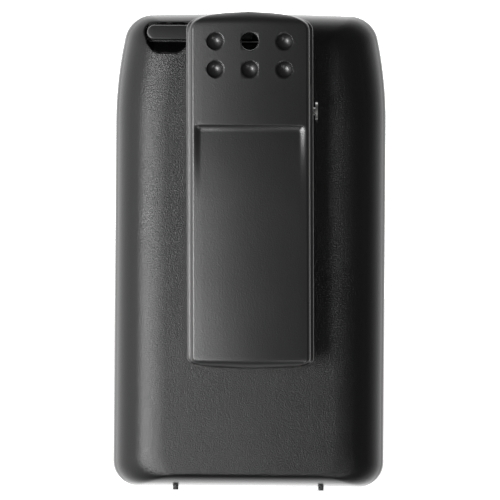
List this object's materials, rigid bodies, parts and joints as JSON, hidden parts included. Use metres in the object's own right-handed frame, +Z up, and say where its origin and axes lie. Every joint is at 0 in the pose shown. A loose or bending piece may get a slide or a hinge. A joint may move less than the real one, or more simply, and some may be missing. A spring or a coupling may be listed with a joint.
{
  "type": "portable two-way radio",
  "caption": "Compact hand-held radio with a latched battery pack across its whole back, a sprung belt clip, top knobs and a push-to-talk key.",
  "frame": {"origin": "centre of the bounding box's bottom face, under the charger guide rails", "axes": "+Z up, +Y towards the rear with the belt clip, -Y towards the speaker side, +X towards the latch's thumb bar"},
  "size_m": [0.06, 0.045, 0.1053],
  "materials": {
    "shell_plastic": "fine spark-eroded grain on the flats, smoother on the side roundings",
    "clip_plastic": "fine grain, slightly polished edges",
    "lever_plastic": "smooth satin",
    "case_plastic": "fine grain",
    "knob_plastic": "satin",
    "button_rubber": "matt elastomer",
    "inner_plastic": "plain",
    "orange_plastic": "satin",
    "steel": "bright, nickel plated",
    "screw_steel": "black oxide",
    "nickel": "plain strip",
    "contact_gold": "gold flash",
    "connector_brass": "gold-coloured plating",
    "chassis_alloy": "as cast",
    "board_green": "solder mask",
    "chip_black": "moulded",
    "cell_wrap": "shrink film",
    "foam": "closed cell",
    "gasket_rubber": "silicone",
    "fuse": "plain",
    "cone_paper": "pressed paper",
    "mesh_cloth": "woven",
    "basket_steel": "zinc plated",
    "plate_metal": "brushed, blank",
    "insulator": "plain",
    "led_lens": "diffusing lens"
  },
  "bodies": {
    "radio": {"front_case": "case_plastic", "chassis": "chassis_alloy", "case_gasket": "gasket_rubber", "chassis_screws": "screw_steel", "main_board": "board_green", "board_screws": "steel", "board_chips": "chip_black", "rf_shield": "nickel", "radio_terminals": "contact_gold", "speaker": "basket_steel", "speaker_cone": "cone_paper", "grille_mesh": "mesh_cloth", "microphone": "nickel", "nameplate": "plate_metal", "control_board": "board_green", "volume_control": "basket_steel", "channel_switch": "basket_steel", "antenna_connector": "connector_brass", "antenna_insulator": "insulator", "emergency_switch": "chip_black", "status_led": "led_lens", "side_switches": "nickel", "jack_block": "chip_black", "jack_contacts": "contact_gold"},
    "battery_pack": {"rear_shell": "shell_plastic", "pack_cover": "inner_plastic", "battery_cells": "cell_wrap", "cell_straps": "nickel", "cell_foam": "foam", "thermal_fuse": "fuse", "pack_terminals": "contact_gold", "charge_contacts": "nickel", "hinge_pin": "steel", "clip_spring": "steel", "latch_pin": "steel", "latch_spring": "steel"},
    "clip": {"belt_clip": "clip_plastic"},
    "latch": {"latch_lever": "lever_plastic"},
    "volume": {"volume_shaft": "steel", "volume_knob": "knob_plastic"},
    "channel": {"channel_shaft": "steel", "channel_knob": "knob_plastic"},
    "emergency": {"emergency_button": "orange_plastic"},
    "ptt": {"ptt_button": "button_rubber"},
    "side_upper": {"upper_side_button": "button_rubber"},
    "side_lower": {"lower_side_button": "button_rubber"},
    "jack_door": {"jack_cover": "button_rubber"}
  },
  "joints": [
    {"name": "pack_release", "type": "hinge", "parent": "radio", "child": "battery_pack", "pos_m": [0, -0.0055, 0.00065], "axis": [-1, 0, 0], "range_deg": [0, 30]},
    {"name": "clip_hinge", "type": "hinge", "parent": "battery_pack", "child": "clip", "pos_m": [0, 0.0176, 0.0831], "axis": [1, 0, 0], "range_deg": [0, 16], "stiffness_Nm_per_rad": 0.12, "springref_deg": -20.05, "deforming": ["clip_spring"]},
    {"name": "latch_swing", "type": "hinge", "parent": "battery_pack", "child": "latch", "pos_m": [0.0014, 0.0079, 0.098], "axis": [0, 0, 1], "range_deg": [0, 10], "stiffness_Nm_per_rad": 0.02, "springref_deg": -11.46, "deforming": ["latch_spring"]},
    {"name": "volume_turn", "type": "hinge", "parent": "radio", "child": "volume", "pos_m": [0.019, -0.014, 0.0991], "axis": [0, 0, -1], "range_deg": [0, 270]},
    {"name": "channel_turn", "type": "hinge", "parent": "radio", "child": "channel", "pos_m": [0.0035, -0.014, 0.0991], "axis": [0, 0, -1], "range_deg": [0, 337.5]},
    {"name": "emergency_press", "type": "slide", "parent": "radio", "child": "emergency", "axis": [0, 0, -1], "range_m": [0, 0.0009], "stiffness_N_per_m": 1800, "springref_m": -0.0006},
    {"name": "ptt_press", "type": "slide", "parent": "radio", "child": "ptt", "axis": [1, 0, 0], "range_m": [0, 0.001], "stiffness_N_per_m": 2200, "springref_m": -0.0006},
    {"name": "upper_button_press", "type": "slide", "parent": "radio", "child": "side_upper", "axis": [1, 0, 0], "range_m": [0, 0.0007], "stiffness_N_per_m": 2500, "springref_m": -0.0005},
    {"name": "lower_button_press", "type": "slide", "parent": "radio", "child": "side_lower", "axis": [1, 0, 0], "range_m": [0, 0.0007], "stiffness_N_per_m": 2500, "springref_m": -0.0005},
    {"name": "jack_cover_hinge", "type": "hinge", "parent": "radio", "child": "jack_door", "pos_m": [0.02865, -0.0147, 0.0688], "axis": [0, 1, 0], "range_deg": [0, 110]}
  ]
}
